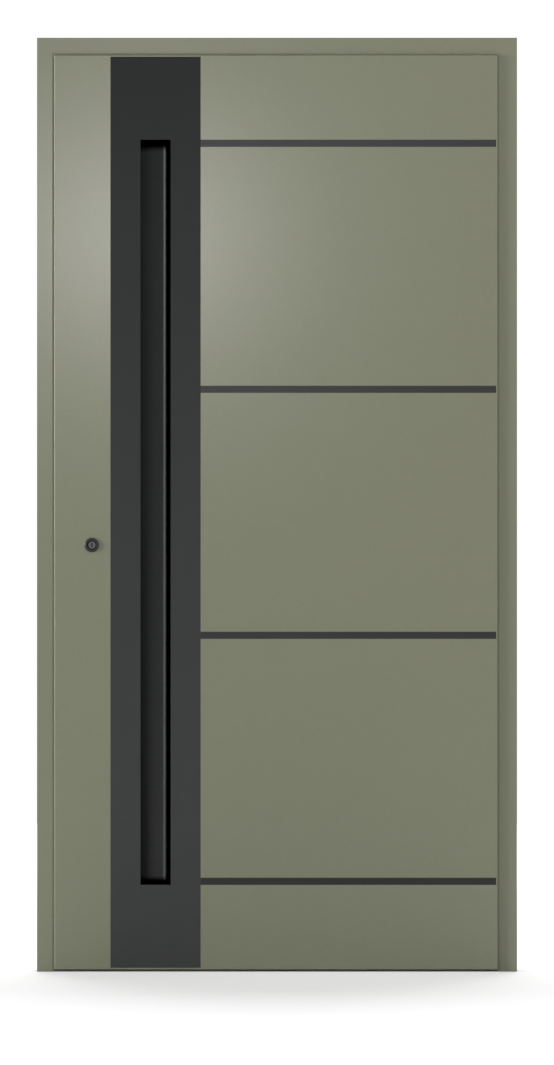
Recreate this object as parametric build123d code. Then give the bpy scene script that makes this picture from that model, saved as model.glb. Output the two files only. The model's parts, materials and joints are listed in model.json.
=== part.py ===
from build123d import *
import os

# Front door with its frame: a green aluminium leaf with a black grip plate, opening inwards.
# X runs to the right as seen from outside, Y runs into the building, Z is up.
# The origin is under the threshold, at the middle of the frame's width and depth.

# Driving dimensions, in millimetres
frame_width = 1100.0
frame_height = 2140.0
frame_depth = 90.0

lip_width = 35.0  # face of the frame beside the leaf, lock side and head
leg_width = 22.0  # frame inside the rebate, lock side and head
hinge_extra = 4.0  # the hinge jamb is this much wider than the lock jamb
lip_depth = 9.0
outer_shell_depth = 23.0
inner_shell_depth = 47.0
shell_wall = 2.0
bar_wall = 3.0  # shell wall that holds the thermal bars
bar_thickness = 2.4
bar_seat = 1.5

leaf_reveal = 5.0  # from the frame's lip to the raised panel of the leaf
leaf_proud = 6.0  # panel in front of the frame's face
leaf_bottom = 5.0
threshold_thickness = 2.5
skin_thickness = 4.0
flange_thickness = 2.5
flange_set_back = 3.0  # flange of the skin behind the frame's face
flange_gap = 1.2
inner_skin_thickness = 2.5
rebate_gap = 5.0  # from the frame's leg to the leaf's edge
edge_bevel = 3.0  # the leaf's edge leans back by this much
stop_gap = 3.0  # for the gasket behind the lip
lock_stile_width = 150.0
hinge_stile_width = 80.0
rail_height = 100.0
profile_wall = 3.0
lock_web = 105.0  # web in the lock stile, from the frame's edge
cross_web = (-18.0, -15.0)  # web between the front and middle chambers, front and back
seal_groove = (30.0, 36.0)  # groove for the bottom seal, front and back
seal_depth = 6.0

plate_offset = 128.6  # from the leaf's lock edge to the black plate
plate_width = 206.5
plate_thickness = 2.0
plate_inset = 4.0  # at the top and bottom of the leaf
grip_width = 69.2
grip_end_offset = 194.1  # from the leaf's top and bottom to the grip opening
strip_count = 4
strip_height = 16.5

grip_undercut = 16.0
grip_depth = 38.0
grip_nose_offset = 58.5
grip_nose_depth = 13.0
grip_slot_offset = 60.5
grip_slot_depth = 40.0
grip_slot_clear = 1.2  # slot's far wall behind the plate's edge
grip_wall = 3.0

cylinder_offset = 126.0  # from the frame's lock edge
cylinder_height = 977.4
spindle_rise = 92.0  # lever spindle above the cylinder
lock_y = 18.0  # middle plane of the lock
channel_height = 20.0
faceplate_thickness = 3.0
faceplate_ends = (150.0, 1960.0)
case_thickness = 18.0
case_depth = 134.0
main_case_ends = (892.0, 1130.0)
hook_heights = (350.0, 1750.0)
hook_case_depth = 60.0
hook_case_below = 60.0
hook_case_above = 70.0
hook_pivot_inset = 15.0  # behind the faceplate
hook_reach = 38.0
hook_thickness = 6.0
hook_width = 15.0
hook_barb = 4.0  # barb beside the hook's shank
hook_pin_radius = 3.0
hook_clear = 0.3
bolt_thickness = 12.0
deadbolt_height = 990.0
deadbolt_size = 34.0
latch_height = 1075.0
latch_size = 20.0
rod_travel = 15.0

cylinder_radius = 8.5
cylinder_web = 10.0
cylinder_drop = 24.5  # from the plug's middle to the cylinder's foot
slot_half = 9.5  # half the width of the milled slot round the cylinder
plug_radius = 6.4
rose_radius = 16.35
rose_height = 3.5
cam_radius = 14.5
strike_thickness = 2.0
strike_width = 28.0
cleat_arm = 90.0

lever_radius = 9.0
lever_reach = 51.0  # from the inner face to the lever's middle line
lever_grip = 125.0  # from the spindle to the lever's end
backplate_width = 38.0
backplate_thickness = 8.0
backplate_above = 48.0  # above the spindle
backplate_below = 58.0  # below the cylinder

hinge_heights = (260.0, 1052.0, 1880.0)
hinge_length = 120.0
hinge_pivot_stand = 11.0  # pin in front of the inner face
barrel_radius = 8.0
pin_radius = 5.0
pin_clearance = 0.06
wing_thickness = 3.0
frame_wing_reach = 26.5  # from the pin to the end of the wing
leaf_wing_reach = 56.0
knuckle_gap = 0.4
pin_rise = 44.0  # pin above the middle of the hinge

anchor_heights = (200.0, 1950.0)
anchor_radius = 4.0

# Places worked out from the sizes above
outside = -frame_depth / 2
inside = frame_depth / 2
left = -frame_width / 2
right = frame_width / 2
top = frame_height
lip_back = outside + lip_depth
outer_shell_back = outside + outer_shell_depth
inner_shell_front = inside - inner_shell_depth
leaf_face = outside - leaf_proud
skin_back = leaf_face + skin_thickness
flange_front = outside + flange_set_back
flange_back = flange_front + flange_thickness
step_front = lip_back + stop_gap
body_back = inside - inner_skin_thickness
body_edge = leg_width + rebate_gap
bevel_end = step_front + 20.0

leaf_left = left + lip_width + leaf_reveal
leaf_right = right - lip_width - hinge_extra - leaf_reveal
leaf_top = top - lip_width - leaf_reveal
flange_reach = leaf_reveal - flange_gap
core_left = left + body_edge + lock_stile_width
core_right = right - body_edge - hinge_extra - hinge_stile_width
core_top = top - body_edge - rail_height
core_bottom = leaf_bottom + rail_height

plate_left = leaf_left + plate_offset
plate_right = plate_left + plate_width
plate_bottom = leaf_bottom + plate_inset
plate_top = leaf_top - plate_inset
plate_back = leaf_face + plate_thickness
grip_left = plate_left + (plate_width - grip_width) / 2
grip_right = grip_left + grip_width
grip_bottom = leaf_bottom + grip_end_offset
grip_top = leaf_top - grip_end_offset
strip_right = leaf_right - plate_inset

edge_x = left + body_edge
channel_low = lock_y - channel_height / 2
channel_high = lock_y + channel_height / 2
case_x = edge_x + faceplate_thickness
cylinder_x = left + cylinder_offset
spindle_height = cylinder_height + spindle_rise
pivot_x = right - leg_width - hinge_extra - rebate_gap / 2
pivot_y = inside + hinge_pivot_stand


def block(x_span, y_span, z_span):
    """Rectangular body between three pairs of planes."""
    size = [span[1] - span[0] for span in (x_span, y_span, z_span)]
    middle = [(span[0] + span[1]) / 2 for span in (x_span, y_span, z_span)]
    return Pos(*middle) * Box(*size)


def window(x_span, y_span):
    """Rectangle on the ground plan."""
    middle = ((x_span[0] + x_span[1]) / 2, (y_span[0] + y_span[1]) / 2)
    return Pos(*middle) * Rectangle(x_span[1] - x_span[0], y_span[1] - y_span[0])


def outline(points):
    """Flat face inside a closed run of points."""
    return make_face(Polyline(*points, close=True))


def upright(section, z_span):
    """A ground-plan section carried up between two heights."""
    return extrude(Pos(0, 0, z_span[0]) * section, z_span[1] - z_span[0])


def rod_along_x(radius, x_span, y, z):
    """Round bar or bore along X."""
    middle = (x_span[0] + x_span[1]) / 2
    return Pos(middle, y, z) * Rot(0, 90, 0) * Cylinder(radius, x_span[1] - x_span[0])


def rod_along_y(radius, y_span, x, z):
    """Round bar or bore along Y."""
    middle = (y_span[0] + y_span[1]) / 2
    return Pos(x, middle, z) * Rot(90, 0, 0) * Cylinder(radius, y_span[1] - y_span[0])


def on_lock_side(section):
    """Place a section, drawn from the frame's edge, at the lock side."""
    return Pos(left, 0) * section


def on_hinge_side(section):
    """Place a section, drawn from the frame's edge, at the hinge side."""
    return Pos(right, 0) * mirror(section, about=Plane.YZ)


def along_head(section, x_span):
    """Carry a section, drawn from the frame's top edge down, along the head."""
    plane = Plane(origin=(x_span[0], 0, top), x_dir=(0, 0, -1), z_dir=(1, 0, 0))
    return extrude(plane * section, x_span[1] - x_span[0])


def mitre(corner_x, run, drop, for_head):
    """Waste on one side of a mitre that starts at the frame's top corner."""
    reach = 3.0
    tip = (corner_x + run * reach, top - drop * reach)
    if for_head:
        points = [(corner_x, top), tip, (corner_x, tip[1])]
    else:
        points = [(corner_x, top), tip, (tip[0], top + 1), (corner_x, top + 1)]
    side = Plane(origin=(0, 0, 0), x_dir=(1, 0, 0), z_dir=(0, -1, 0))
    return extrude(side * outline(points), frame_depth, both=True)


def save(part, node):
    """Write one sub-part under its own name."""
    part.label = node
    export_step(part, f"parts/{node}.step")


# Frame

def outer_shell_section(extra):
    """Aluminium shell with the stop lip, drawn from the frame's edge."""
    lip = lip_width + extra
    leg = leg_width + extra
    shape = outline([(0, outside), (lip, outside), (lip, lip_back), (leg, lip_back),
                     (leg, outer_shell_back), (0, outer_shell_back)])
    shape -= window((shell_wall, leg - shell_wall), (outside + shell_wall, outer_shell_back - bar_wall))
    shape -= window((leg, lip - shell_wall), (outside + shell_wall, lip_back - shell_wall))
    return shape - bar_grooves(leg)


def inner_shell_section(extra):
    """Plain box shell on the room side, drawn from the frame's edge."""
    leg = leg_width + extra
    shape = window((0, leg), (inner_shell_front, inside))
    shape -= window((shell_wall, leg - shell_wall), (inner_shell_front + bar_wall, inside - shell_wall))
    return shape - bar_grooves(leg)


def bar_grooves(leg):
    """The two thermal bars, which are also their grooves in both shells."""
    span = (outer_shell_back - bar_seat, inner_shell_front + bar_seat)
    places = (shell_wall * 2, leg - shell_wall * 2)
    bars = [window((place - bar_thickness / 2, place + bar_thickness / 2), span) for place in places]
    return bars[0] + bars[1]


def frame_lengths(section_of, run):
    """Two jambs and the head from one section, mitred at the top corners."""
    hinge_run = run + hinge_extra
    lock_jamb = upright(on_lock_side(section_of(0)), (0, top)) - mitre(left, run, run, False)
    hinge_jamb = upright(on_hinge_side(section_of(hinge_extra)), (0, top))
    hinge_jamb -= mitre(right, -hinge_run, run, False)
    head = along_head(section_of(0), (left, right))
    head -= mitre(left, run, run, True)
    head -= mitre(right, -hinge_run, run, True)
    return lock_jamb, hinge_jamb, head


def frame_bars(run):
    """Thermal bars cut to the mitres of one shell."""
    return frame_lengths(lambda extra: bar_grooves(leg_width + extra), run)


def strike_windows(grow, x_span):
    """Openings for the bolts in the lock jamb, larger than the bolts by grow."""
    half = bolt_thickness / 2 + grow
    y_span = (lock_y - half, lock_y + half)
    cuts = []
    for height, size in ((deadbolt_height, deadbolt_size), (latch_height, latch_size)):
        reach = size / 2 + grow
        cuts.append(block(x_span, y_span, (height - reach, height + reach)))
    half = hook_thickness / 2 + grow
    for height in hook_heights:
        span = (height - hook_reach / 4 + 0.5 - grow, height + hook_reach + grow / 2)
        cuts.append(block(x_span, (lock_y - half, lock_y + half), span))
    return cuts


def make_frame():
    """All the frame's shells, bars and cleats."""
    lock_outer, hinge_outer, head_outer = frame_lengths(outer_shell_section, lip_width)
    lock_inner, hinge_inner, head_inner = frame_lengths(inner_shell_section, leg_width)
    reach = (left - 1, left + leg_width + 1)
    for cut in strike_windows(3.0, (left + leg_width - shell_wall * 1.5, left + leg_width + 1)):
        lock_inner -= cut
    for height in anchor_heights:
        lock_inner -= rod_along_x(anchor_radius, reach, lock_y, height)
        hinge_inner -= rod_along_x(anchor_radius, (-reach[1] - hinge_extra, -reach[0]), lock_y, height)
    save(lock_outer, "lock_jamb_outer_shell")
    save(hinge_outer, "hinge_jamb_outer_shell")
    save(head_outer, "head_outer_shell")
    save(lock_inner, "lock_jamb_inner_shell")
    save(hinge_inner, "hinge_jamb_inner_shell")
    save(head_inner, "head_inner_shell")
    solids = []
    for inner, outer in zip(frame_bars(leg_width), frame_bars(lip_width)):
        solids += (inner & outer).solids()
    save(Compound(children=solids), "frame_thermal_bars")


def make_cleats():
    """Angle cleats pressed into the room-side chambers at the top corners."""
    slack = 0.2
    y_span = (inner_shell_front + 10, inside - 10)
    low = top - leg_width + shell_wall + slack
    high = top - shell_wall - slack
    cleats = []
    for corner, sign, leg in ((left, 1, leg_width), (right, -1, leg_width + hinge_extra)):
        near = corner + sign * (shell_wall + slack)
        far = corner + sign * (leg - shell_wall - slack * 5)
        end = corner + sign * cleat_arm
        side = Plane(origin=(0, y_span[0], 0), x_dir=(1, 0, 0), z_dir=(0, -1, 0))
        shape = outline([(near, top - cleat_arm), (far, top - cleat_arm), (far, low),
                         (end, low), (end, high), (near, high)])
        cleats.append(extrude(side * shape, -(y_span[1] - y_span[0])))
    save(Compound(children=cleats), "frame_corner_cleats")


def gasket_section(extra):
    """Bulb of the stop gasket behind the lip, drawn from the frame's edge."""
    base = (leg_width + extra + 3, lip_width + extra - 2)
    crown = (sum(base) / 2, step_front - 0.3)
    edge = Line((base[0], lip_back), (base[1], lip_back))
    bulb = ThreePointArc((base[1], lip_back), crown, (base[0], lip_back))
    return make_face([edge, bulb])


def make_gasket():
    """Stop gasket in three lengths, butted at the top corners."""
    head_edge = top - leg_width - 3
    span = (threshold_thickness + 0.5, head_edge)
    lengths = [upright(on_lock_side(gasket_section(0)), span)]
    lengths.append(upright(on_hinge_side(gasket_section(hinge_extra)), span))
    ends = (left + lip_width - 2, right - lip_width - hinge_extra + 2)
    lengths.append(along_head(gasket_section(0), ends))
    save(Compound(children=lengths), "frame_gasket")


def make_threshold():
    """Flat sill plate, notched round the lips of the jambs."""
    lip_ends = (left + lip_width, right - lip_width - hinge_extra)
    leg_ends = (left + leg_width, right - leg_width - hinge_extra)
    plan = outline([(lip_ends[0], outside), (lip_ends[1], outside), (lip_ends[1], lip_back),
                    (leg_ends[1], lip_back), (leg_ends[1], inside), (leg_ends[0], inside),
                    (leg_ends[0], lip_back), (lip_ends[0], lip_back)])
    plate = upright(plan, (0, threshold_thickness))
    front = plate.edges().filter_by(Axis.X).group_by(Axis.Z)[-1].sort_by(Axis.Y)
    plate = chamfer([front[0], front[-1]], 1.0)
    save(plate, "threshold_plate")


# Strike plates

def strike_ends():
    """Bottom and top of the lower, main and upper strike plates."""
    lower = (hook_heights[0] - 36, hook_heights[0] + 64)
    main = (deadbolt_height - 45, latch_height + 38)
    upper = (hook_heights[1] - 36, hook_heights[1] + 64)
    return {"lower_strike_plate": lower, "main_strike_plate": main, "upper_strike_plate": upper}


def make_strikes():
    """Strike plates on the lock jamb's rebate face."""
    x_span = (left + leg_width, left + leg_width + strike_thickness)
    y_span = (lock_y - strike_width / 2, lock_y + strike_width / 2)
    for node, ends in strike_ends().items():
        plate = block(x_span, y_span, ends)
        plate = fillet(plate.edges().filter_by(Axis.X), 4.0)
        for cut in strike_windows(1.0, (x_span[0] - 1, x_span[1] + 1)):
            plate -= cut
        save(plate, node)


# Hinges

def hinge_plan(side, wing_end):
    """Neck from the barrel to the wing, drawn from the pin; side is -1 for the leaf."""
    clear = 5.5
    low = -hinge_pivot_stand
    high = low + wing_thickness
    neck = outline([(0, 0), (side * barrel_radius, 0), (side * (barrel_radius + 1.5), high),
                    (side * wing_end, high), (side * wing_end, low), (side * clear, low)])
    wing = window(sorted((side * clear, side * wing_end)), (low, high))
    return neck + Circle(barrel_radius), wing


def hinge_half(side, wing_end, span):
    """One half of a lift-off hinge: a full-height wing with a knuckle over the given span."""
    knuckle_plan, wing_plan = hinge_plan(side, wing_end)
    wing = upright(wing_plan, (-hinge_length / 2, hinge_length / 2))
    corners = wing.edges().filter_by(Axis.Y).sort_by(Axis.X)
    outer = corners[-2:] if side > 0 else corners[:2]
    return fillet(outer, 6.0) + upright(knuckle_plan, span)


def make_hinges():
    """Three lift-off hinges on the room side, each with its pin fixed in the frame's half."""
    half = hinge_length / 2
    for name, height in zip(("lower", "middle", "upper"), hinge_heights):
        place = Pos(pivot_x, pivot_y, height)
        frame_half = hinge_half(1, frame_wing_reach, (-half, -knuckle_gap / 2))
        frame_half += Pos(0, 0, pin_rise / 2 - 5) * Cylinder(pin_radius, pin_rise + 10)
        leaf_half = hinge_half(-1, leaf_wing_reach, (knuckle_gap / 2, half))
        leaf_half -= Pos(0, 0, pin_rise / 2) * Cylinder(pin_radius + pin_clearance, pin_rise + 2)
        save(place * frame_half, f"{name}_hinge_frame_wing")
        save(place * leaf_half, f"{name}_hinge_leaf_wing")


# Leaf

def leaf_edge_points(extra):
    """Stepped outer edge of the leaf's profiles, drawn from the frame's edge."""
    raised = lip_width + extra + leaf_reveal
    edge = body_edge + extra
    return [(edge, body_back), (edge, bevel_end), (edge + edge_bevel, step_front),
            (raised - 3.5, step_front), (raised - 3.5, flange_back),
            (raised + skin_thickness, flange_back), (raised + skin_thickness, skin_back)]


def profile_section(extra, width, rows, webs):
    """Hollow stile or rail: a stepped outline with rows of chambers split by webs."""
    far = body_edge + extra + width
    shape = outline(leaf_edge_points(extra) + [(far, skin_back), (far, body_back)])
    for near, low, high in rows:
        bounds = [near] + list(webs) + [far - profile_wall]
        for start, end in zip(bounds[:-1], bounds[1:]):
            begin = start if start == near else start + profile_wall
            shape -= window((begin, end), (low, high))
    return shape


def chamber_rows(extra):
    """Front, middle and back chambers: first wall, low and high."""
    edge = body_edge + extra
    front = lip_width + extra + leaf_reveal + skin_thickness + profile_wall
    return [(front, skin_back + profile_wall, cross_web[0]),
            (edge + edge_bevel + profile_wall, cross_web[1], channel_low - profile_wall),
            (edge + profile_wall, channel_high + profile_wall, body_back - profile_wall)]


def euro_hole(y_span, slack):
    """Keyed cylinder shape along Y: a round head over a narrow web."""
    head = rod_along_y(cylinder_radius + slack, y_span, cylinder_x, cylinder_height)
    half = cylinder_web / 2 + slack
    low = cylinder_height - cylinder_drop - slack
    web = block((cylinder_x - half, cylinder_x + half), y_span, (low + half, cylinder_height))
    foot = rod_along_y(half, y_span, cylinder_x, low + half)
    return head + web + foot


def milled_slot(y_span, height):
    """Plain milled slot for the cylinder, up past the given height."""
    z_span = (cylinder_height - cylinder_drop - 1, height + slot_half)
    return block((cylinder_x - slot_half, cylinder_x + slot_half), y_span, z_span)


def bottom_milling():
    """Groove for the bottom seal, and room for the skin's bottom return."""
    groove = block((left, right), seal_groove, (leaf_bottom, leaf_bottom + seal_depth))
    room = block((left, right), (leaf_face, flange_back), (leaf_bottom, leaf_bottom + skin_thickness))
    return groove + room


def make_profiles():
    """Stiles and rails of the leaf."""
    envelope_points = leaf_edge_points(0) + [(top - leaf_bottom, skin_back), (top - leaf_bottom, body_back)]
    envelope = along_head(outline(envelope_points), (left, right))
    section = profile_section(0, lock_stile_width, chamber_rows(0), (lock_web,))
    channel = (body_edge, body_edge + lock_stile_width - profile_wall)
    section -= window(channel, (channel_low, channel_high))
    stile = upright(on_lock_side(section), (leaf_bottom, top - body_edge)) & envelope
    stile -= milled_slot((skin_back - 1, lock_y), cylinder_height)
    stile -= milled_slot((lock_y, body_back + 1), spindle_height)
    stile -= bottom_milling()
    save(stile, "lock_stile")

    rows = chamber_rows(hinge_extra)
    rows.insert(2, (body_edge + hinge_extra + profile_wall, channel_low, channel_high))
    section = profile_section(hinge_extra, hinge_stile_width, rows, ())
    stile = upright(on_hinge_side(section), (leaf_bottom, top - body_edge)) & envelope
    stile -= bottom_milling()
    save(stile, "hinge_stile")

    rows = chamber_rows(0)
    rows.insert(2, (body_edge + profile_wall, channel_low, channel_high))
    rail = along_head(profile_section(0, rail_height, rows, ()), (core_left, core_right))
    save(rail, "top_rail")

    rail = block((core_left, core_right), (skin_back, body_back), (leaf_bottom, core_bottom))
    hollow = (leaf_bottom + profile_wall, core_bottom - profile_wall)
    rows = ((skin_back + profile_wall, cross_web[0]), (cross_web[1], channel_low - profile_wall),
            (channel_low, seal_groove[0] - profile_wall))
    for row in rows:
        rail -= block((core_left - 1, core_right + 1), row, hollow)
    rail -= bottom_milling()
    save(rail, "bottom_rail")


def strip_centres():
    """Heights of the inlay strips, evenly spread between the grip's ends."""
    first = grip_bottom + strip_height / 2
    last = grip_top - strip_height / 2
    return [first + (last - first) * step / (strip_count - 1) for step in range(strip_count)]


def trough_line():
    """Inner line of the grip: undercut wall, rising floor, rounded nose and a narrow slot."""
    points = [(grip_left - grip_undercut, plate_back),
              (grip_left - grip_undercut, leaf_face + grip_depth),
              (grip_left + grip_nose_offset, leaf_face + grip_nose_depth),
              (grip_left + grip_slot_offset, leaf_face + grip_slot_depth),
              (grip_right + grip_slot_clear, leaf_face + grip_slot_depth),
              (grip_right + grip_slot_clear, plate_back)]
    return FilletPolyline(*points, radius=[10.0, 4.0, 1.5, 3.0])


def closed_face(line):
    """Face between an open line and the straight line that joins its ends."""
    return make_face(line.edges() + [Line(line @ 1, line @ 0)])


def make_grip():
    """Grip trough and its two end caps."""
    line = trough_line()
    band = make_face(offset(line, grip_wall, side=Side.LEFT))
    trough = upright(band, (grip_bottom, grip_top))
    filled = closed_face(line) + band
    save(trough, "grip_trough")
    save(upright(filled, (grip_bottom - grip_wall, grip_bottom)), "grip_bottom_cap")
    save(upright(filled, (grip_top, grip_top + grip_wall)), "grip_top_cap")
    return upright(filled, (grip_bottom - grip_wall, grip_top + grip_wall))


def make_skins(grip_body):
    """Outer and inner skins, and the black plate with its strips."""
    full = block((leaf_left, leaf_right), (leaf_face, flange_back), (leaf_bottom, leaf_top))
    rim = full.faces().sort_by(Axis.Y)[0].edges()
    skin = fillet(rim, 2.0)
    inner_x = (leaf_left + skin_thickness, leaf_right - skin_thickness)
    inner_z = (leaf_bottom + skin_thickness, leaf_top - skin_thickness)
    skin -= block(inner_x, (skin_back, flange_back + 1), inner_z)
    flange = block((leaf_left - flange_reach, leaf_right + flange_reach), (flange_front, flange_back),
                   (leaf_bottom, leaf_top + flange_reach))
    flange -= block((leaf_left + 1, leaf_right - 1), (flange_front, flange_back),
                    (leaf_bottom, leaf_top - 1))
    skin += flange
    skin -= block((plate_left, plate_right), (leaf_face, plate_back), (plate_bottom, plate_top))
    for centre in strip_centres():
        z_span = (centre - strip_height / 2, centre + strip_height / 2)
        skin -= block((plate_right, strip_right), (leaf_face, plate_back), z_span)
    skin -= grip_body
    skin -= rod_along_y(plug_radius + 0.7, (leaf_face - 1, skin_back + 1), cylinder_x, cylinder_height)
    save(skin, "outer_skin")

    plate = block((plate_left, plate_right), (leaf_face, plate_back), (plate_bottom, plate_top))
    plate -= block((grip_left, grip_right), (leaf_face, plate_back), (grip_bottom, grip_top))
    save(plate, "cover_plate")
    for number, centre in enumerate(reversed(strip_centres()), start=1):
        z_span = (centre - strip_height / 2, centre + strip_height / 2)
        save(block((plate_right, strip_right), (leaf_face, plate_back), z_span), f"inlay_strip_{number}")

    x_span = (left + body_edge, right - body_edge - hinge_extra)
    lining = block(x_span, (body_back, inside), (leaf_bottom, top - body_edge))
    lining = chamfer(lining.faces().sort_by(Axis.Y)[-1].edges(), 1.0)
    lining -= milled_slot((body_back - 1, inside + 1), spindle_height)
    save(lining, "inner_skin")


def make_core():
    """Insulation in boards cut to fit above, below, beside and behind the grip."""
    depth = (skin_back, body_back)
    room = 0.3
    low = grip_bottom - grip_wall - room
    high = grip_top + grip_wall + room
    undercut = grip_left - grip_undercut - grip_wall - room
    slot_left = grip_left + grip_nose_offset - grip_wall - 1.0
    slot_right = grip_right + grip_slot_clear + grip_wall + room
    slot_back = leaf_face + grip_slot_depth + grip_wall + room
    slope = (grip_depth - grip_nose_depth) / (grip_undercut + grip_nose_offset)
    floor = leaf_face + grip_depth + (grip_wall + room) * (1 + slope ** 2) ** 0.5
    rise = floor - slope * (slot_left - undercut - grip_wall - room)
    wedge = outline([(undercut, body_back), (undercut, floor), (undercut + grip_wall + room, floor),
                     (slot_left, rise), (slot_left, body_back)])
    boards = [block((core_left, core_right), depth, (core_bottom, low)),
              block((core_left, core_right), depth, (high, core_top)),
              block((core_left, undercut), depth, (low, high)),
              block((slot_right, core_right), depth, (low, high)),
              upright(wedge, (low, high)),
              block((slot_left, slot_right), (slot_back, body_back), (low, high))]
    save(Compound(children=boards), "insulation_core")


def make_bottom_seal():
    """Sweep seal: a root in the groove and a lip just over the threshold."""
    x_span = (left + body_edge + 2, right - body_edge - hinge_extra - 2)
    side = Plane(origin=(x_span[0], 0, 0), x_dir=(0, 1, 0), z_dir=(1, 0, 0))
    tip = threshold_thickness + 0.3
    front, back = seal_groove
    root = leaf_bottom + seal_depth
    shape = outline([(front, root), (back, root), (back, leaf_bottom), (back + 2, leaf_bottom),
                     (back - 0.5, tip), (front + 0.5, tip), (front - 2, leaf_bottom), (front, leaf_bottom)])
    save(extrude(side * shape, x_span[1] - x_span[0]), "bottom_sweep_seal")


# Lock

def rod_span(upper):
    """Ends of a drive rod with the bolts drawn in."""
    if upper:
        return (main_case_ends[1] - 22, hook_heights[1] - hook_case_below + 15)
    return (hook_heights[0] + hook_case_above - 35, main_case_ends[0] + 22)


def rod_body(span, slack):
    """Flat drive rod in the lock channel."""
    x_span = (case_x + 42 - slack, case_x + 50 + slack)
    return block(x_span, (lock_y - 1.5 - slack, lock_y + 1.5 + slack), span)


def bolt_pocket(height, size, depth, slack):
    """Way for a sliding bolt in a case or plate, from the leaf's edge inwards."""
    half = bolt_thickness / 2 + slack
    reach = size / 2 + slack
    x_span = (edge_x - 1, case_x + depth)
    return block(x_span, (lock_y - half, lock_y + half), (height - reach, height + reach))


def hook_pocket(height, x_end):
    """Way for a swinging hook, from the leaf's edge inwards."""
    half = hook_thickness / 2 + hook_clear
    z_span = (height - hook_reach / 4, height + hook_reach + 3)
    return block((edge_x - 1, x_end), (lock_y - half, lock_y + half), z_span)


def make_cases():
    """Main lock case and the two hook cases."""
    y_span = (lock_y - case_thickness / 2, lock_y + case_thickness / 2)
    case = block((case_x, case_x + case_depth), y_span, main_case_ends)
    case -= bolt_pocket(deadbolt_height, deadbolt_size, 52.0, 0.3)
    case -= bolt_pocket(latch_height, latch_size, 60.0, 0.3)
    case -= milled_slot((y_span[0] - 1, y_span[1] + 1), cylinder_height)
    case -= rod_along_y(cam_radius + 0.8, (lock_y - 5.1, lock_y + 5.1), cylinder_x, cylinder_height)
    case -= rod_along_y(6.5, (y_span[0] - 1, y_span[1] + 1), cylinder_x, spindle_height)
    case -= rod_body((rod_span(True)[0] - 2, main_case_ends[1] + 1), 0.3)
    case -= rod_body((main_case_ends[0] - 1, rod_span(False)[1] + rod_travel + 2), 0.3)
    save(case, "main_lock_case")
    for name, height in zip(("lower", "upper"), hook_heights):
        ends = (height - hook_case_below, height + hook_case_above)
        case = block((case_x, case_x + hook_case_depth), y_span, ends)
        case -= hook_pocket(height, case_x + 32.0)
        bore = (lock_y - hook_thickness - 0.2, lock_y + hook_thickness + 0.2)
        case -= rod_along_y(hook_pin_radius + pin_clearance, bore, case_x + hook_pivot_inset, height)
        if name == "upper":
            case -= rod_body((ends[0] - 1, rod_span(True)[1] + rod_travel + 2), 0.3)
        else:
            case -= rod_body((rod_span(False)[0] - 2, ends[1] + 1), 0.3)
        save(case, f"{name}_hook_case")


def make_hooks():
    """Swing hooks, stored upright inside their cases."""
    half = hook_width / 2
    barb = half + hook_barb
    side = Plane(origin=(0, 0, 0), x_dir=(1, 0, 0), z_dir=(0, -1, 0))
    shape = outline([(-half / 2, 1 - half), (-half, 0), (-half, hook_reach - 13.5),
                     (-barb, hook_reach - 12), (-barb, hook_reach - 5), (3 - half, hook_reach - 1),
                     (half - 2, hook_reach - 2), (half, hook_reach - 8), (half, 0), (half / 2, 1 - half)])
    for name, height in zip(("lower", "upper"), hook_heights):
        place = Pos(case_x + hook_pivot_inset, lock_y, height)
        hook = extrude(side * shape, hook_thickness / 2, both=True)
        hook += Rot(90, 0, 0) * Cylinder(hook_pin_radius, hook_thickness * 2)
        save(place * hook, f"{name}_hook")


def make_bolts():
    """Latch bolt, deadbolt and drive rods, all drawn in."""
    face = edge_x + 0.2
    half = bolt_thickness / 2
    plan = outline([(face, lock_y + half), (face, lock_y + half - 3), (face + 10, lock_y - half),
                    (face + 44, lock_y - half), (face + 44, lock_y + half)])
    latch = upright(plan, (latch_height - latch_size / 2, latch_height + latch_size / 2))
    save(latch, "latch_bolt")
    z_span = (deadbolt_height - deadbolt_size / 2, deadbolt_height + deadbolt_size / 2)
    bolt = block((face, face + 50), (lock_y - half, lock_y + half), z_span)
    bolt = chamfer(bolt.faces().sort_by(Axis.X)[0].edges(), 1.0)
    save(bolt, "deadbolt")
    rods = [rod_body(rod_span(False), 0), rod_body(rod_span(True), 0)]
    save(Compound(children=rods), "drive_rods")


def make_faceplate():
    """Full-length faceplate in the mouth of the lock channel."""
    plate = block((edge_x, case_x), (channel_low, channel_high), faceplate_ends)
    ends = plate.edges().filter_by(Axis.X)
    plate = fillet(ends, 3.0)
    plate -= bolt_pocket(deadbolt_height, deadbolt_size, 1.0, 0.3)
    plate -= bolt_pocket(latch_height, latch_size, 1.0, 0.3)
    for height in hook_heights:
        plate -= hook_pocket(height, case_x + 1)
    save(plate, "lock_faceplate")


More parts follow.
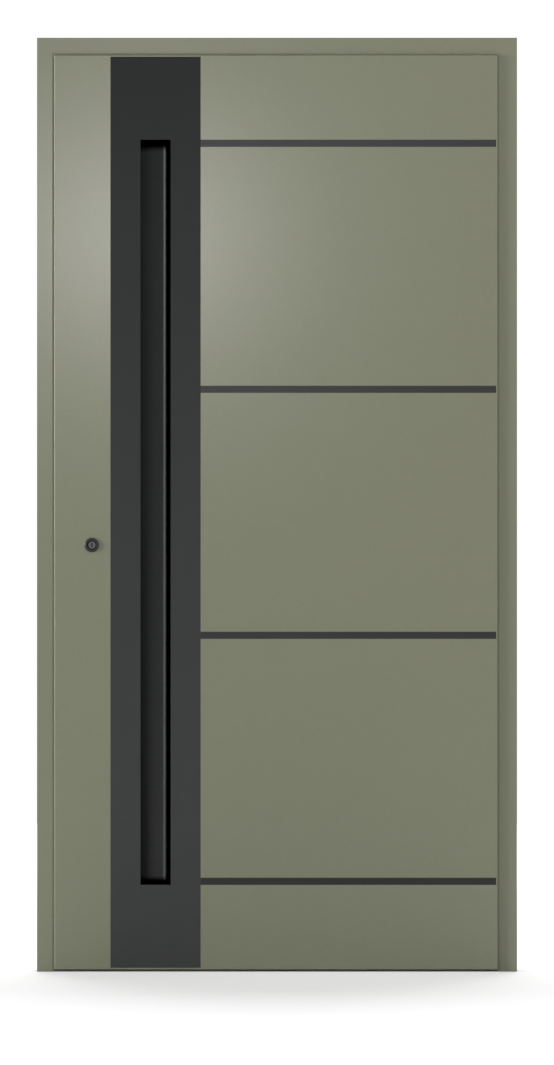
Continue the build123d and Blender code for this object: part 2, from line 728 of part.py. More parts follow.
def make_cylinder():
    """Keyed cylinder: body, two plugs, cam and the outer rose."""
    body_span = (skin_back, inside + backplate_thickness + 1)
    body = euro_hole(body_span, 0)
    bore = (body_span[0] - 1, body_span[1] + 1)
    body -= rod_along_y(plug_radius + 0.05, bore, cylinder_x, cylinder_height)
    cam_y = (lock_y - 5.0, lock_y + 5.0)
    reach = cam_radius + 0.8
    body -= block((cylinder_x - 10, cylinder_x + 10), cam_y, (cylinder_height - reach, cylinder_height + 10))
    save(body, "cylinder_body")

    outer_end = leaf_face - 1.0
    plug = rod_along_y(plug_radius, (outer_end, cam_y[0] + 0.2), cylinder_x, cylinder_height)
    plug -= keyway((outer_end - 1, outer_end + 20))
    save(plug, "outer_plug")
    room_end = body_span[1] + 1.0
    plug = rod_along_y(plug_radius, (cam_y[1] - 0.1, room_end), cylinder_x, cylinder_height)
    plug -= keyway((room_end - 20, room_end + 1))
    save(plug, "inner_plug")

    span = (cam_y[0] + 0.2, cam_y[1] - 0.2)
    cam = rod_along_y(8.4, span, cylinder_x, cylinder_height)
    z_span = (cylinder_height - cam_radius + 1, cylinder_height)
    lobe = block((cylinder_x - 3.5, cylinder_x + 3.5), span, z_span)
    lobe &= rod_along_y(cam_radius, span, cylinder_x, cylinder_height)
    save(cam + lobe, "cylinder_cam")

    rose = Pos(0, 0, rose_height / 2) * Cylinder(rose_radius, rose_height)
    rose = chamfer(rose.edges().group_by(Axis.Z)[-1], 1.2)
    rose -= Cylinder(plug_radius + 0.7, rose_height * 3)
    save(Pos(cylinder_x, leaf_face, cylinder_height) * Rot(90, 0, 0) * rose, "outer_rose")


def keyway(y_span):
    """Upright slit for the key."""
    z_span = (cylinder_height - 4.8, cylinder_height + 4.8)
    return block((cylinder_x - 1.4, cylinder_x + 1.4), y_span, z_span)


def make_lever():
    """Inside lever with its mitred bend and square spindle, and the long backplate."""
    ends = (cylinder_height - backplate_below, spindle_height + backplate_above)
    side = Plane(origin=(cylinder_x, inside, sum(ends) / 2), x_dir=(0, 0, 1), z_dir=(0, 1, 0))
    plate = extrude(side * SlotOverall(ends[1] - ends[0], backplate_width), backplate_thickness)
    plate = chamfer(plate.faces().sort_by(Axis.Y)[-1].edges(), 1.5)
    plate -= euro_hole((inside - 1, inside + backplate_thickness + 1), 0.1)
    bore = (inside - 1, inside + backplate_thickness + 1)
    plate -= rod_along_y(lever_radius + 0.1, bore, cylinder_x, spindle_height)
    save(plate, "inside_backplate")
    neck_start = inside + 1.0
    bend = inside + lever_reach
    path = Polyline((cylinder_x, neck_start), (cylinder_x, bend), (cylinder_x + lever_grip, bend))
    path = Pos(0, 0, spindle_height) * path
    start = Plane(origin=(cylinder_x, neck_start, spindle_height), z_dir=(0, 1, 0))
    lever = sweep(start * Circle(lever_radius), path, transition=Transition.RIGHT)
    lever = chamfer(lever.edges().sort_by(Axis.X)[-1], 1.5)
    spindle_span = (lock_y - 8.5, bend - lever_radius * 2)
    spindle = block((cylinder_x - 4, cylinder_x + 4), spindle_span, (spindle_height - 4, spindle_height + 4))
    lever -= spindle
    save(lever, "inside_lever")
    save(spindle, "lever_spindle")


os.makedirs("parts", exist_ok=True)
make_frame()
make_cleats()
make_gasket()
make_threshold()
make_strikes()
make_hinges()
make_profiles()
make_skins(make_grip())
make_core()
make_bottom_seal()
make_cases()
make_hooks()
make_bolts()
make_faceplate()
make_cylinder()
make_lever()
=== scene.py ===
import json
import math
import bmesh
import bpy
import numpy as np
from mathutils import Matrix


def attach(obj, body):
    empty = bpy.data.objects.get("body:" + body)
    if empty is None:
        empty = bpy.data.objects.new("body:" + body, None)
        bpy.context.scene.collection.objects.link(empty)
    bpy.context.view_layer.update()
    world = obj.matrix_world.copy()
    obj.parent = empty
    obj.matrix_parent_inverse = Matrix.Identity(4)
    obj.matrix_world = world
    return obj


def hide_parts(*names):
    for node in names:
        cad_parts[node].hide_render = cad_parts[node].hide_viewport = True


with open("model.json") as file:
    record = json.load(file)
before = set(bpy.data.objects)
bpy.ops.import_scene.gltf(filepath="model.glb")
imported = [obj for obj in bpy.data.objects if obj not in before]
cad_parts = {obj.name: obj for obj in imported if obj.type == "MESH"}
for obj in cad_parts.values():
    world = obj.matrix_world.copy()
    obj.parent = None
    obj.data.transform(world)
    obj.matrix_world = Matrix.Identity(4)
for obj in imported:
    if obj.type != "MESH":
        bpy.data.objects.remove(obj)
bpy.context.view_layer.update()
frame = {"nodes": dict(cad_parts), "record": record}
nodes = frame["nodes"]
print("frame loaded:", len(nodes), "nodes")

# Colours are written as sRGB hex values and turned to linear here.


def linearColour(hexValue):
    channels = [int(hexValue[i:i + 2], 16) / 255 for i in (0, 2, 4)]
    return tuple(c / 12.92 if c <= 0.04045 else ((c + 0.055) / 1.055) ** 2.4 for c in channels) + (1.0,)


def addNode(tree, kind, settings=None, links=None):
    # settings go to the node's properties or sockets, links join another node's output to a socket
    node = tree.nodes.new(kind)
    for name, value in (settings or {}).items():
        if isinstance(name, int) or name in node.inputs:
            node.inputs[name].default_value = value
        else:
            setattr(node, name, value)
    for name, source in (links or {}).items():
        tree.links.new(source, node.inputs[name])
    return node


def newMaterial(name):
    material = bpy.data.materials.new(name)
    material.use_nodes = True
    tree = material.node_tree
    tree.nodes.clear()
    place = addNode(tree, "ShaderNodeTexCoord").outputs["Object"]
    return material, tree, place


def finishMaterial(tree, shader):
    addNode(tree, "ShaderNodeOutputMaterial", links={"Surface": shader.outputs[0]})


def noiseAt(tree, place, sizeMm, detail=2.0, stretch=(1, 1, 1)):
    # one noise feature is about sizeMm across; Object coordinates are metres
    scaled = addNode(tree, "ShaderNodeMapping", {"Scale": stretch}, {"Vector": place})
    return addNode(tree, "ShaderNodeTexNoise", {"Scale": 1000.0 / sizeMm, "Detail": detail},
                   {"Vector": scaled.outputs[0]}).outputs["Fac"]


def rangeOf(tree, value, low, high):
    return addNode(tree, "ShaderNodeMapRange", {"To Min": low, "To Max": high},
                   {"Value": value}).outputs["Result"]


def mixColours(tree, factor, first, second):
    # first and second are hex values or the colour outputs of other nodes
    mix = addNode(tree, "ShaderNodeMix", {"data_type": "RGBA"})
    for socket, colour in ((mix.inputs[6], first), (mix.inputs[7], second)):
        if isinstance(colour, str):
            socket.default_value = linearColour(colour)
        else:
            tree.links.new(colour, socket)
    tree.links.new(factor, mix.inputs[0])
    return mix.outputs[2]


def rampAlong(tree, place, axis, start, end):
    # 0 before start, 1 past end, in metres along one axis of the Object coordinates
    part = addNode(tree, "ShaderNodeSeparateXYZ", links={0: place}).outputs[axis]
    return addNode(tree, "ShaderNodeMapRange", {"From Min": start, "From Max": end},
                   {"Value": part}).outputs["Result"]


def bumpFrom(tree, height, strength, distanceMm):
    return addNode(tree, "ShaderNodeBump", {"Strength": strength, "Distance": distanceMm / 1000},
                   {"Height": height}).outputs["Normal"]


# Fine-structure polyester powder coat on aluminium, sprayed and baked: matt, with a faint grain that
# breaks the gloss into a broad soft patch and mottles the colour a little. The real grain is 0.3 mm;
# it is drawn coarser so that it shows. The shares say how far grain and mottle go towards light.
powderCoat = {"light": "8e907b", "dark": "868872", "grainMm": 3.5, "grainShare": 0.6,
              "mottleMm": 14.0, "mottleShare": 0.4, "mottleDetail": 3.0,
              "roughLow": 0.30, "roughHigh": 0.35, "bump": 0.12, "liftMm": 0.1}
# The same coat comes out a little deeper on the fibre composite of the leaf's stiles and rails.
profileGreen = dict(powderCoat, light="84866f", dark="7c7e68")


def makePowderCoat(name, spec):
    material, tree, place = newMaterial(name)
    grain = noiseAt(tree, place, spec["grainMm"])
    mottle = noiseAt(tree, place, spec["mottleMm"], spec["mottleDetail"])
    both = addNode(tree, "ShaderNodeMath", {"operation": "MULTIPLY_ADD", 1: spec["grainShare"]},
                   {0: grain, 2: rangeOf(tree, mottle, 0.0, spec["mottleShare"])})
    shader = addNode(tree, "ShaderNodeBsdfPrincipled", {"IOR": 1.5},
                     {"Base Color": mixColours(tree, both.outputs[0], spec["dark"], spec["light"]),
                      "Roughness": rangeOf(tree, grain, spec["roughLow"], spec["roughHigh"]),
                      "Normal": bumpFrom(tree, grain, spec["bump"], spec["liftMm"])})
    finishMaterial(tree, shader)
    return material


# Smooth satin powder coat, black: an even skin with slight orange peel and no grain. The cover plate
# is painted paler towards the sill: painted light, standing in for the pale floor's glow reflected in it.
satinBlack = {"light": "272829", "dark": "242526", "specular": 0.25, "peelMm": 22.0,
              "roughLow": 0.66, "roughHigh": 0.72, "bump": 0.05, "liftMm": 0.05,
              # foot: painted reflection of the floor, paler black towards the sill
              "zones": {"foot": {"axis": 2, "start": 2.05, "end": 0.3, "light": "444545",
                                 "dark": "404141", "specular": 0.25}}}

# The grip is the same black. Its rounded nose is painted paler, a painted highlight. The finger slot behind
# it is painted near black as painted shade, and both ends of the trough as painted shadow of its edges.
gripBlack = dict(satinBlack, light="303131", dark="2c2d2d", specular=0.45, roughLow=0.36, roughHigh=0.42,
                 # nose: painted highlight along the grip's rounded nose
                 zones={"nose": {"axis": 0, "start": -0.2618, "end": -0.2596, "light": "616466",
                                 "dark": "5c5f61", "specular": 0.5},
                        # slot: painted shade, near black without sheen in the finger slot and on its far
                        # wall
                        "slot": {"axis": 0, "start": -0.2530, "end": -0.2518, "light": "030303",
                                 "dark": "020202", "specular": 0.0},
                        # painted shadow of the trough's top edge, near black without sheen
                        "topEndPaintedShadow": {"axis": 2, "start": 1.8800, "end": 1.8920, "light": "050505",
                                   "dark": "040404", "specular": 0.0},
                        # painted shadow at the trough's bottom end, near black without sheen
                        "bottomEndPaintedShadow": {"axis": 2, "start": 0.2190, "end": 0.2090, "light": "050505",
                                      "dark": "040404", "specular": 0.0}})


def makeSatinCoat(name, spec):
    # each zone is a ramp along one axis, in metres, to another colour and sheen of the same coat
    material, tree, place = newMaterial(name)
    peel = noiseAt(tree, place, spec["peelMm"])
    colour = mixColours(tree, peel, spec["dark"], spec["light"])
    level = addNode(tree, "ShaderNodeValue")
    level.outputs[0].default_value = spec["specular"]
    sheen = level.outputs[0]
    for zone in spec["zones"].values():
        inZone = rampAlong(tree, place, zone["axis"], zone["start"], zone["end"])
        colour = mixColours(tree, inZone, colour, mixColours(tree, peel, zone["dark"], zone["light"]))
        sheen = addNode(tree, "ShaderNodeMix", {3: zone["specular"]}, {0: inZone, 2: sheen}).outputs[0]
    shader = addNode(tree, "ShaderNodeBsdfPrincipled", {"IOR": 1.5},
                     {"Base Color": colour, "Specular IOR Level": sheen,
                      "Roughness": rangeOf(tree, peel, spec["roughLow"], spec["roughHigh"]),
                      "Normal": bumpFrom(tree, peel, spec["bump"], spec["liftMm"])})
    finishMaterial(tree, shader)
    return material


# Bare or plated metals, brushed, drawn or turned: fine lines along one axis stretch the highlight.
# lineMm is the width of a line; stretch is small along the axis in which the lines run.
metalLines = {"detail": 3.0, "bump": 0.1, "liftMm": 0.02}
metals = {
    # anodised and brushed lengthwise: a dark metal sheen drawn out along the strip
    "strip_anodised": {"name": "darkAnodisedAluminium", "light": "4d4c4e", "dark": "424143",
                       "lineMm": 2.0, "stretch": (0.02, 1, 1), "roughLow": 0.5, "roughHigh": 0.6},
    # brushed stainless steel, cool grey with fine upright lines
    "stainless": {"name": "brushedStainlessSteel", "light": "b4b3af", "dark": "9d9c98",
                  "lineMm": 0.8, "stretch": (1, 1, 0.04), "roughLow": 0.26, "roughHigh": 0.38},
    # turned steel, blackened: dark, with a dim ring of light on every turned edge
    "dark_rose": {"name": "blackenedTurnedSteel", "light": "484a49", "dark": "3a3c3b",
                  "lineMm": 0.6, "stretch": (1, 1, 0.1), "roughLow": 0.46, "roughHigh": 0.54},
    # near black and matt inside the rose: painted shade that gives back hardly any light
    "rose_seat_shade": {"name": "paintedShadeRoseSeat", "light": "0b0b0b", "dark": "060606",
                  "lineMm": 1.0, "stretch": (1, 1, 1), "roughLow": 0.7, "roughHigh": 0.8},
    # zinc plated steel, bluish and slightly cloudy
    "zinc_plated": {"name": "zincPlatedSteel", "light": "b9bcc1", "dark": "9fa3aa",
                    "lineMm": 6.0, "stretch": (1, 1, 1), "roughLow": 0.30, "roughHigh": 0.48},
    # turned and nickel plated brass, cool grey
    "nickel_brass": {"name": "satinNickelBrass", "light": "8f9191", "dark": "797b7b",
                     "lineMm": 0.5, "stretch": (1, 0.1, 1), "roughLow": 0.24, "roughHigh": 0.36},
    # aluminium as it leaves the press, with die lines along its length
    "mill_aluminium": {"name": "millFinishAluminium", "light": "c6c6c4", "dark": "afafae",
                       "lineMm": 1.0, "stretch": (0.02, 1, 1), "roughLow": 0.34, "roughHigh": 0.5},
}


def makeMetal(spec):
    material, tree, place = newMaterial(spec["name"])
    lines = noiseAt(tree, place, spec["lineMm"], metalLines["detail"], spec["stretch"])
    shader = addNode(tree, "ShaderNodeBsdfPrincipled", {"Metallic": 1.0},
                     {"Base Color": mixColours(tree, lines, spec["dark"], spec["light"]),
                      "Roughness": rangeOf(tree, lines, spec["roughLow"], spec["roughHigh"]),
                      "Normal": bumpFrom(tree, lines, metalLines["bump"], metalLines["liftMm"])})
    finishMaterial(tree, shader)
    return material


# Extruded or cut plastics, rubber and foam: soft, slightly uneven. cellMm is the size of a patch.
softDetail = 4.0
softs = {
    # bars pressed through a die: dull black, with a faint drawn grain
    "polyamide": {"name": "extrudedPolyamide", "light": "1f1f20", "dark": "19191a", "cellMm": 1.5,
                  "roughLow": 0.5, "roughHigh": 0.62, "bump": 0.15, "liftMm": 0.05},
    # extruded rubber: black with a dusty bloom and no clear highlight
    "seal_rubber": {"name": "extrudedSealRubber", "light": "26261f", "dark": "1e1e19", "cellMm": 2.0,
                    "roughLow": 0.6, "roughHigh": 0.75, "bump": 0.2, "liftMm": 0.05},
    # rubber dyed to the coat's colour, a little duller than the coat
    "lip_seal": {"name": "colourMatchedLipSeal", "light": "8b8d78", "dark": "838570", "cellMm": 2.0,
                 "roughLow": 0.5, "roughHigh": 0.6, "bump": 0.15, "liftMm": 0.05},
    # foam cut from a block: pale, and rough all over from its open cells
    "foam": {"name": "cutPolyurethaneFoam", "light": "d9c98f", "dark": "c9b87c", "cellMm": 3.0,
             "roughLow": 0.85, "roughHigh": 0.95, "bump": 0.5, "liftMm": 0.6},
}


def makeSoft(spec):
    material, tree, place = newMaterial(spec["name"])
    cells = noiseAt(tree, place, spec["cellMm"], softDetail)
    shader = addNode(tree, "ShaderNodeBsdfPrincipled", {"IOR": 1.5},
                     {"Base Color": mixColours(tree, cells, spec["dark"], spec["light"]),
                      "Roughness": rangeOf(tree, cells, spec["roughLow"], spec["roughHigh"]),
                      "Normal": bumpFrom(tree, cells, spec["bump"], spec["liftMm"])})
    finishMaterial(tree, shader)
    return material


# Finishes by slot. Every solid takes the finish of its slot; dark_rose, rose_seat_shade and lip_seal are
# for the pieces drawn below.
finishes = {
    "frame_coat": makePowderCoat("powderCoatedAluminiumFrame", powderCoat),
    "leaf_coat": makePowderCoat("powderCoatedAluminiumLeaf", powderCoat),
    "profile_coat": makePowderCoat("powderCoatedFibreComposite", profileGreen),
    "hinge_coat": makePowderCoat("powderCoatedHingeAluminium", powderCoat),
    "black_coat": makeSatinCoat("satinCoatedBlackAluminium", satinBlack),
    "grip_coat": makeSatinCoat("satinCoatedBlackGrip", gripBlack),
}
finishes.update({slot: makeMetal(spec) for slot, spec in metals.items()})
finishes.update({slot: makeSoft(spec) for slot, spec in softs.items()})
slotOf = {part["node"]: part["material_slot"] for part in frame["record"]["subparts"]}
for name, node in nodes.items():
    node.data.materials.clear()
    node.data.materials.append(finishes[slotOf[name]])
print("finishes given to", len(nodes), "nodes")

# Fine pieces drawn here, in millimetres: the key rose with what stands in it, the lip seal, screw
# heads and hinge caps. These functions make their meshes.


def gridMesh(name, points):
    # points is an array of rows by columns by xyz; each cell becomes one four-sided face
    index = np.arange(points.shape[0] * points.shape[1]).reshape(points.shape[:2])
    faces = np.stack([index[:-1, :-1], index[1:, :-1], index[1:, 1:], index[:-1, 1:]], axis=-1)
    mesh = bpy.data.meshes.new(name)
    mesh.from_pydata(points.reshape(-1, 3).tolist(), [], faces.reshape(-1, 4).tolist())
    mesh.update()
    piece = bpy.data.objects.new(name, mesh)
    bpy.context.scene.collection.objects.link(piece)
    return piece


def ringOfPoints(radii, heights, turns):
    # a profile of (radius, height) pairs carried once round the axis; the last column meets the first
    angle = np.linspace(0.0, 2 * math.pi, turns, endpoint=False)
    return (np.outer(radii, np.cos(angle)), np.outer(radii, np.sin(angle)),
            np.outer(heights, np.ones(turns)))


def placed(points, centre, facing):
    # the local x, y and height axes go to world axes so that height points the way it faces
    across = {"+X": ((0, 1, 0), (0, 0, 1), (1, 0, 0)), "-X": ((0, 0, 1), (0, 1, 0), (-1, 0, 0)),
              "+Y": ((0, 0, 1), (1, 0, 0), (0, 1, 0)), "-Y": ((1, 0, 0), (0, 0, 1), (0, -1, 0)),
              "+Z": ((1, 0, 0), (0, 1, 0), (0, 0, 1)), "-Z": ((0, 1, 0), (1, 0, 0), (0, 0, -1))}[facing]
    moved = sum(part[..., None] * np.array(axis, float) for part, axis in zip(points, across))
    return (moved + np.array(centre)) / 1000.0


def turnedMesh(name, rings, closed):
    # rings is a list of arrays (rows, turns, 3); rows join to rows and columns wrap round; a row whose
    # points all meet is merged to one point; closed joins the last row to the first as well; the faces
    # are turned outwards at the end
    vertices, faces, start = [], [], 0
    for ring in rings:
        rows, turns = ring.shape[:2]
        index = start + np.arange(rows * turns).reshape(rows, turns)
        if closed:
            index = np.vstack([index, index[:1]])
        along = np.roll(index, -1, axis=1)
        faces.append(np.stack([index[:-1], along[:-1], along[1:], index[1:]], axis=-1).reshape(-1, 4))
        vertices.append(ring.reshape(-1, 3))
        start += rows * turns
    mesh = bpy.data.meshes.new(name)
    mesh.from_pydata(np.concatenate(vertices).tolist(), [], np.concatenate(faces).tolist())
    merged = bmesh.new()
    merged.from_mesh(mesh)
    bmesh.ops.remove_doubles(merged, verts=merged.verts, dist=1e-7)
    bmesh.ops.recalc_face_normals(merged, faces=merged.faces)
    merged.to_mesh(mesh)
    merged.free()
    piece = bpy.data.objects.new(name, mesh)
    bpy.context.scene.collection.objects.link(piece)
    return piece


# Key rose: the solid's ring with its mouth turned wider at the front and a rounded lip, and a seat inside
# it painted near black as painted shade. edgeSteps are the points of its outer edge, inwards and down in
# shares of the bevel; the lip is a quarter round. A face belongs to the seat within the mouth and above
# seatHeight.
roseShape = {"centre": (-424.0, -51.0, 977.4), "outer": 16.35, "height": 3.5, "bevel": 1.2,
             "edgeSteps": ((0.0, 1.0), (0.92, 0.08), (1.1, 0.0)), "mouth": 10.6, "lip": 0.5, "lipSteps": 6,
             "step": 0.6, "bore": 7.1, "seatMargin": 0.02, "seatHeight": 0.3, "turns": 128}


def makeRose(shape):
    high, mouth = shape["height"], shape["mouth"]
    bend = np.linspace(0.0, math.pi / 2, shape["lipSteps"])
    inwards, down = np.array(shape["edgeSteps"]).T * shape["bevel"]
    radii = np.concatenate([[shape["bore"], shape["outer"]], shape["outer"] - inwards,
                            mouth + shape["lip"] * (1 - np.sin(bend)), [mouth, shape["bore"]]])
    heights = np.concatenate([[0.0, 0.0], high - down, high - shape["lip"] * (1 - np.cos(bend)),
                              [shape["step"], shape["step"]]])
    rose = turnedMesh("keyRose", [placed(ringOfPoints(radii, heights, shape["turns"]),
                                         shape["centre"], "-Y")], True)
    rose.data.materials.append(finishes["dark_rose"])
    rose.data.materials.append(finishes["rose_seat_shade"])
    middle = np.array([face.center for face in rose.data.polygons]) * 1000 - np.array(shape["centre"])
    inMouth = np.hypot(middle[:, 0], middle[:, 2]) < mouth + shape["seatMargin"]
    # the seat's faces take the near black finish: painted shade in the rose's mouth
    inSeat = inMouth & (middle[:, 1] < -shape["seatHeight"])
    rose.data.polygons.foreach_set("material_index", inSeat.astype(np.int32))
    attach(rose, "leaf")
    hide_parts("outer_rose")
    return rose


# The cylinder's round head stands in the seat, as a ring with its edges broken
headShape = {"outer": 8.5, "inner": 6.45, "low": 0.1, "high": 1.6, "edge": 0.25}


def makeHead(shape, centre, turns):
    rim = shape["high"] - shape["edge"]
    radii = [shape["inner"], shape["outer"], shape["outer"], shape["outer"] - shape["edge"],
             shape["inner"] + shape["edge"], shape["inner"]]
    heights = [shape["low"], shape["low"], rim, shape["high"], shape["high"], rim]
    head = turnedMesh("cylinderHead", [placed(ringOfPoints(radii, heights, turns), centre, "-Y")], True)
    head.data.materials.append(finishes["nickel_brass"])
    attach(head, "leaf")
    return head


# Keyway shutter: a shallow lens behind the plug's face, at depth*(1 + curve*(across/halfWide)^2)
shutterShape = {"halfWide": 1.35, "halfHigh": 4.75, "plugFace": 1.0, "depth": 0.5, "curve": 0.25,
                "steps": 9}


def makeShutter(shape, centre):
    across = np.linspace(-shape["halfWide"], shape["halfWide"], shape["steps"])
    upward = np.linspace(-shape["halfHigh"], shape["halfHigh"], shape["steps"])
    gridAcross, gridUp = np.meshgrid(across, upward, indexing="ij")
    depth = shape["depth"] * (1 + shape["curve"] * (gridAcross / shape["halfWide"]) ** 2)
    points = np.stack([gridAcross, depth - shape["plugFace"], gridUp], axis=-1) + np.array(centre)
    shutter = gridMesh("keywayShutter", points[::-1] / 1000.0)
    # the near black finish in the keyway is painted shade
    shutter.data.materials.append(finishes["rose_seat_shade"])
    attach(shutter, "outer_key")


rose = makeRose(roseShape)
head = makeHead(headShape, roseShape["centre"], roseShape["turns"])
makeShutter(shutterShape, roseShape["centre"])
print("key rose and cylinder head drawn:", len(rose.data.polygons) + len(head.data.polygons), "faces")

# Lip seal in the reveal round the leaf, fixed to the frame: a strip that lies from tip to root
# outwards of the leaf's edges. Its front bulges by bulge*sin over its width. It goes up the lock
# side, over the head and down the hinge side, and both ends are closed at their middle.
sealShape = {"lockEdge": -510.0, "hingeEdge": 506.0, "topEdge": 2100.0, "foot": 3.0, "tip": 1.0,
             "root": 5.0, "front": -44.5, "back": -43.0, "bulge": 0.3, "steps": 9}


def makeLipSeal(shape):
    turn = np.linspace(0.0, math.pi, shape["steps"])
    reach = shape["root"] + (shape["tip"] - shape["root"]) * turn / math.pi
    outward = np.concatenate([reach, reach[::-1]])
    depth = np.concatenate([shape["front"] - shape["bulge"] * np.sin(turn),
                            np.full(shape["steps"], shape["back"])])
    # each corner's x and z on the leaf's edge, and which way the strip lies from it
    corners = ((shape["lockEdge"], shape["foot"], -1, 0), (shape["lockEdge"], shape["topEdge"], -1, 1),
               (shape["hingeEdge"], shape["topEdge"], 1, 1), (shape["hingeEdge"], shape["foot"], 1, 0))
    rows = [np.stack([x + sideways * outward, depth, z + upward * outward], axis=-1)
            for x, z, sideways, upward in corners]
    ends = [np.tile(row.mean(0), (len(outward), 1)) for row in (rows[0], rows[-1])]
    seal = turnedMesh("revealLipSeal", [np.stack([ends[0], *rows, ends[1]]) / 1000.0], False)
    seal.data.materials.append(finishes["lip_seal"])
    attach(seal, "frame")


makeLipSeal(sealShape)
print("lip seal drawn")

# Screw heads: a low dome with a crossed drive. Height is lens*(1 - (r/R)^2) less the drive's depth
# where the point lies in either arm of the cross. An arm narrows outwards and ends in a short slope.
screwShape = {"radius": 4.2, "lens": 0.6, "sunk": 0.4, "depth": 1.1, "arm": 2.6, "slope": 0.5,
              "armWidth": 0.75, "armShare": 1.25, "armTaper": 0.5, "rows": 17, "turns": 96}


def screwHead(centre, facing, shape):
    radii = np.concatenate([[0.0, shape["radius"]], np.linspace(shape["radius"], 0.0, shape["rows"])])
    x, y, _ = ringOfPoints(radii, radii, shape["turns"])
    reach = np.hypot(x, y)
    armHalf = shape["armWidth"] * (shape["armShare"] - shape["armTaper"] * reach / shape["arm"])
    inArm = np.minimum(np.abs(x), np.abs(y)) < armHalf
    drive = np.clip((shape["arm"] - reach) / shape["slope"], 0.0, 1.0) * inArm
    height = shape["lens"] * (1 - (reach / shape["radius"]) ** 2) - shape["depth"] * drive
    height[:2] = -shape["sunk"]
    return placed((x, y, height), centre, facing)


# Three screws to a hinge wing, on its room side; two to a strike and seven to the faceplate, on the
# faces that the jamb and the leaf's edge turn to each other
hingeHeights = (260.0, 1052.0, 1880.0)
wingScrews = {"face": 48.0, "rises": (-45, 0, 45), "frameX": 539.0, "leafX": (499.5, 475.5, 499.5)}
lockScrews = {"y": 18.0, "strikeFace": -526.0, "strikes": (323, 405, 954, 1104, 1723, 1805),
              "plateFace": -523.0, "plate": (162, 460, 700, 957.4, 1300, 1650, 1948)}
screwGroups = {
    "frameHingeScrews": {"body": "frame", "facing": "+Y",
                         "at": [(wingScrews["frameX"], wingScrews["face"], z + rise)
                                for z in hingeHeights for rise in wingScrews["rises"]]},
    "leafHingeScrews": {"body": "leaf", "facing": "+Y",
                        "at": [(x, wingScrews["face"], z + rise) for z in hingeHeights
                               for x, rise in zip(wingScrews["leafX"], wingScrews["rises"])]},
    "strikeScrews": {"body": "frame", "facing": "+X",
                     "at": [(lockScrews["strikeFace"], lockScrews["y"], z) for z in lockScrews["strikes"]]},
    "faceplateScrews": {"body": "leaf", "facing": "-X",
                        "at": [(lockScrews["plateFace"], lockScrews["y"], z) for z in lockScrews["plate"]]},
}
for name, group in screwGroups.items():
    heads = [screwHead(centre, group["facing"], screwShape) for centre in group["at"]]
    piece = turnedMesh(name, heads, False)
    piece.data.materials.append(finishes["zinc_plated"])
    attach(piece, group["body"])
print("screw heads drawn in", len(screwGroups), "groups")

# Hinge caps: low domes on both ends of every barrel, height rise*cos of the angle to the rim
capShape = {"radius": 8.0, "rise": 1.8, "sunk": 0.2, "half": 60.0, "x": 521.5, "y": 56.0,
            "rows": 9, "turns": 64}


def hingeCaps(name, body, end, shape):
    # end is 1 for the caps on top of the barrels and -1 for those below
    angle = np.linspace(math.pi / 2, 0.0, shape["rows"])
    radii = np.concatenate([[0.0, shape["radius"]], shape["radius"] * np.sin(angle)])
    heights = np.concatenate([[-shape["sunk"], -shape["sunk"]], shape["rise"] * np.cos(angle)])
    rings = [placed(ringOfPoints(radii, heights, shape["turns"]),
                    (shape["x"], shape["y"], z + end * shape["half"]), "+Z" if end > 0 else "-Z")
             for z in hingeHeights]
    caps = turnedMesh(name, rings, False)
    caps.data.materials.append(finishes["hinge_coat"])
    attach(caps, body)


hingeCaps("upperHingeCaps", "leaf", 1, capShape)
hingeCaps("lowerHingeCaps", "frame", -1, capShape)
print("hinge caps drawn")

# Camera: straight on, long lens, at the height that the photograph shows; metres
camera = {"distance": 12.0, "height": 1.0062, "viewHeight": 2.4392, "longSide": 36.0, "faceY": -0.051,
          "farthest": 100.0}
lens = bpy.data.cameras.new("straightOnLens")
lens.sensor_fit = "AUTO"
lens.sensor_width = camera["longSide"]
lens.lens = camera["longSide"] * camera["distance"] / camera["viewHeight"]
lens.clip_end = camera["farthest"]
eye = bpy.data.objects.new("straightOnCamera", lens)
eye.location = (0.0, camera["faceY"] - camera["distance"], camera["height"])
eye.rotation_euler = (math.pi / 2, 0.0, 0.0)
bpy.context.scene.collection.objects.link(eye)
bpy.context.scene.camera = eye

# Floor: one plain sheet in pale paint, matt and even. Camera rays see it lifted towards white by a
# share that grows to the whole between near and far from the door, and the door's shadow stays.
plainWhite = (1, 1, 1, 1)
floorShape = {"reach": 6.0, "steps": 9, "height": -0.0005}
floorPaint = {"colour": "f2f2f2", "lift": 1.94, "share": 0.2, "near": 1.9, "far": 3.4}
edge = np.linspace(-floorShape["reach"], floorShape["reach"], floorShape["steps"])
gridX, gridY = np.meshgrid(edge, edge, indexing="ij")
floor = gridMesh("paleFloor", np.stack([gridX, gridY, np.full(gridX.shape, floorShape["height"])], axis=-1))
material, tree, place = newMaterial("palePaintedFloor")
path = addNode(tree, "ShaderNodeLightPath")
matt = addNode(tree, "ShaderNodeBsdfDiffuse", {"Color": linearColour(floorPaint["colour"])})
glow = addNode(tree, "ShaderNodeEmission", {"Color": plainWhite, "Strength": floorPaint["lift"]})
away = addNode(tree, "ShaderNodeVectorMath", {"operation": "LENGTH"}, {0: place}).outputs["Value"]
share = addNode(tree, "ShaderNodeMapRange",
                {"From Min": floorPaint["near"], "From Max": floorPaint["far"],
                 "To Min": floorPaint["share"], "To Max": 1.0}, {"Value": away}).outputs["Result"]
seen = addNode(tree, "ShaderNodeMath", {"operation": "MULTIPLY"},
               {0: share, 1: path.outputs["Is Camera Ray"]}).outputs[0]
mixed = addNode(tree, "ShaderNodeMixShader", links={0: seen, 1: matt.outputs[0], 2: glow.outputs[0]})
finishMaterial(tree, mixed)
floor.data.materials.append(material)

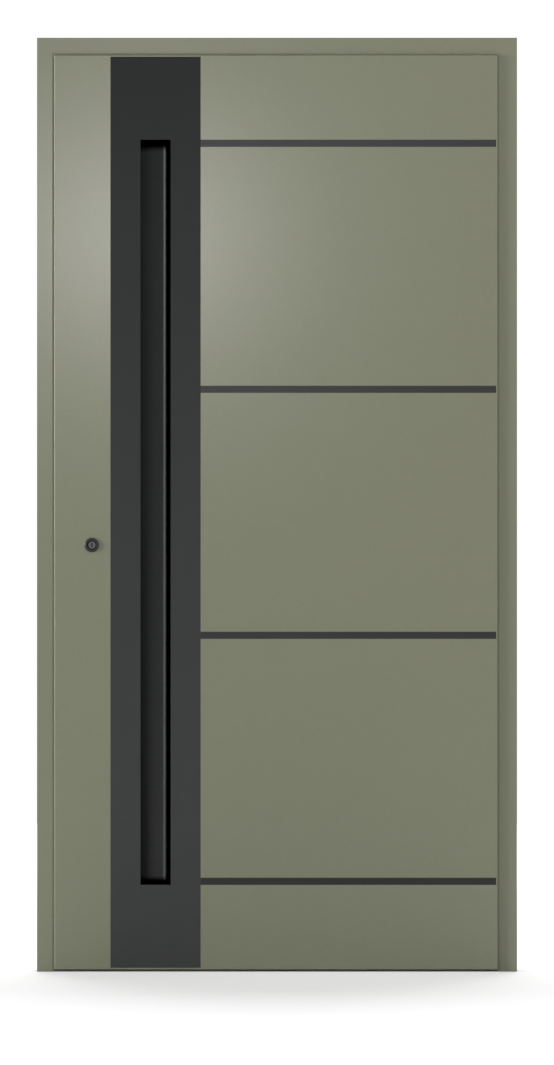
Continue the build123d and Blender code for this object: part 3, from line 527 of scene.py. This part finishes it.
# Studio: white for the camera, a dim even sky for every other ray
studioLevels = {"white": 1.05, "sky": 0.11}
world = bpy.data.worlds.new("paleStudio")
world.use_nodes = True
bpy.context.scene.world = world
tree = world.node_tree
tree.nodes.clear()
path = addNode(tree, "ShaderNodeLightPath")
white = addNode(tree, "ShaderNodeBackground", {"Color": plainWhite, "Strength": studioLevels["white"]})
sky = addNode(tree, "ShaderNodeBackground", {"Color": plainWhite, "Strength": studioLevels["sky"]})
seen = addNode(tree, "ShaderNodeMath", {"operation": "MAXIMUM"},
               {0: path.outputs["Is Camera Ray"], 1: path.outputs["Is Transmission Ray"]}).outputs[0]
mixed = addNode(tree, "ShaderNodeMixShader", links={0: seen, 1: sky.outputs[0], 2: white.outputs[0]})
addNode(tree, "ShaderNodeOutputWorld", links={"Surface": mixed.outputs[0]})

# Lamps, in metres and watts: a small one before the grip that gives gloss only, a far bank from the
# left that grazes the face and throws the leaf's shadow on the hinge jamb, one above right that
# favours the top, and one high behind the door that gives no gloss and whose soft shadow falls on
# the floor in front
lamps = {
    "glossLamp": {"place": (-0.388, -2.35, 1.821), "target": (-0.388, 0.0, 1.69), "size": (0.36, 0.2),
                  "power": 12.0, "diffuse": False, "gloss": True},
    "leftBank": {"place": (-12.0, -2.6, 2.2), "target": (0.2, 0.0, 1.1), "size": (2.0, 3.0),
                 "power": 1450.0, "diffuse": True, "gloss": True},
    "topBank": {"place": (2.2, -3.2, 4.0), "target": (0.3, 0.0, 1.2), "size": (1.0, 1.0),
                "power": 70.0, "diffuse": True, "gloss": True},
    "backBank": {"place": (0.0, 2.6, 6.8), "target": (0.0, -0.6, 0.0), "size": (5.0, 3.0),
                 "power": 500.0, "diffuse": True, "gloss": False},
}
for name, spec in lamps.items():
    light = bpy.data.lights.new(name, "AREA")
    light.shape = "RECTANGLE"
    light.size, light.size_y = spec["size"]
    light.energy = spec["power"]
    lamp = bpy.data.objects.new(name, light)
    aim = np.array(spec["target"]) - np.array(spec["place"])
    lamp.location = spec["place"]
    lamp.rotation_euler = (math.acos(-aim[2] / np.linalg.norm(aim)), 0.0, math.atan2(-aim[0], aim[1]))
    lamp.visible_diffuse = spec["diffuse"]
    lamp.visible_glossy = spec["gloss"]
    bpy.context.scene.collection.objects.link(lamp)
print("floor, studio and lamps placed")

bpy.context.scene.view_settings.view_transform = "Standard"
